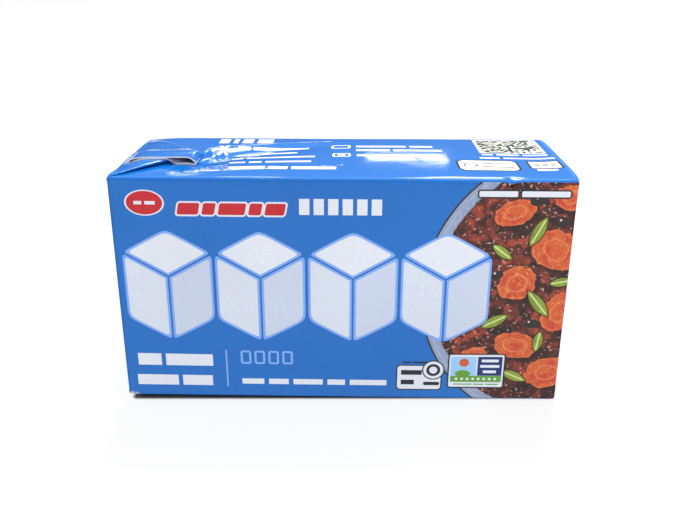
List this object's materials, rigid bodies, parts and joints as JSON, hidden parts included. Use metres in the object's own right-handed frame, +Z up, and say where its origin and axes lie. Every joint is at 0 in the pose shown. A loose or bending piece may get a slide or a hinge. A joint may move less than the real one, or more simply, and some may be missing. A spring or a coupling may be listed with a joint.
{
  "type": "tofu carton",
  "caption": "Shut brick carton of tofu, folded from printed laminate, lying on its long narrow side with its folded ear and sealed fin on top.",
  "frame": {"origin": "centre of the bounding box at the surface that the carton rests on", "axes": "+X along the carton's length towards the end with the inward folded ears, -Y towards the printed front face, +Z up"},
  "size_m": [0.1206, 0.0434, 0.0664],
  "materials": {
    "laminate": "glossy printed blue laminate"
  },
  "bodies": {
    "root": {"carton": "laminate"}
  },
  "joints": []
}
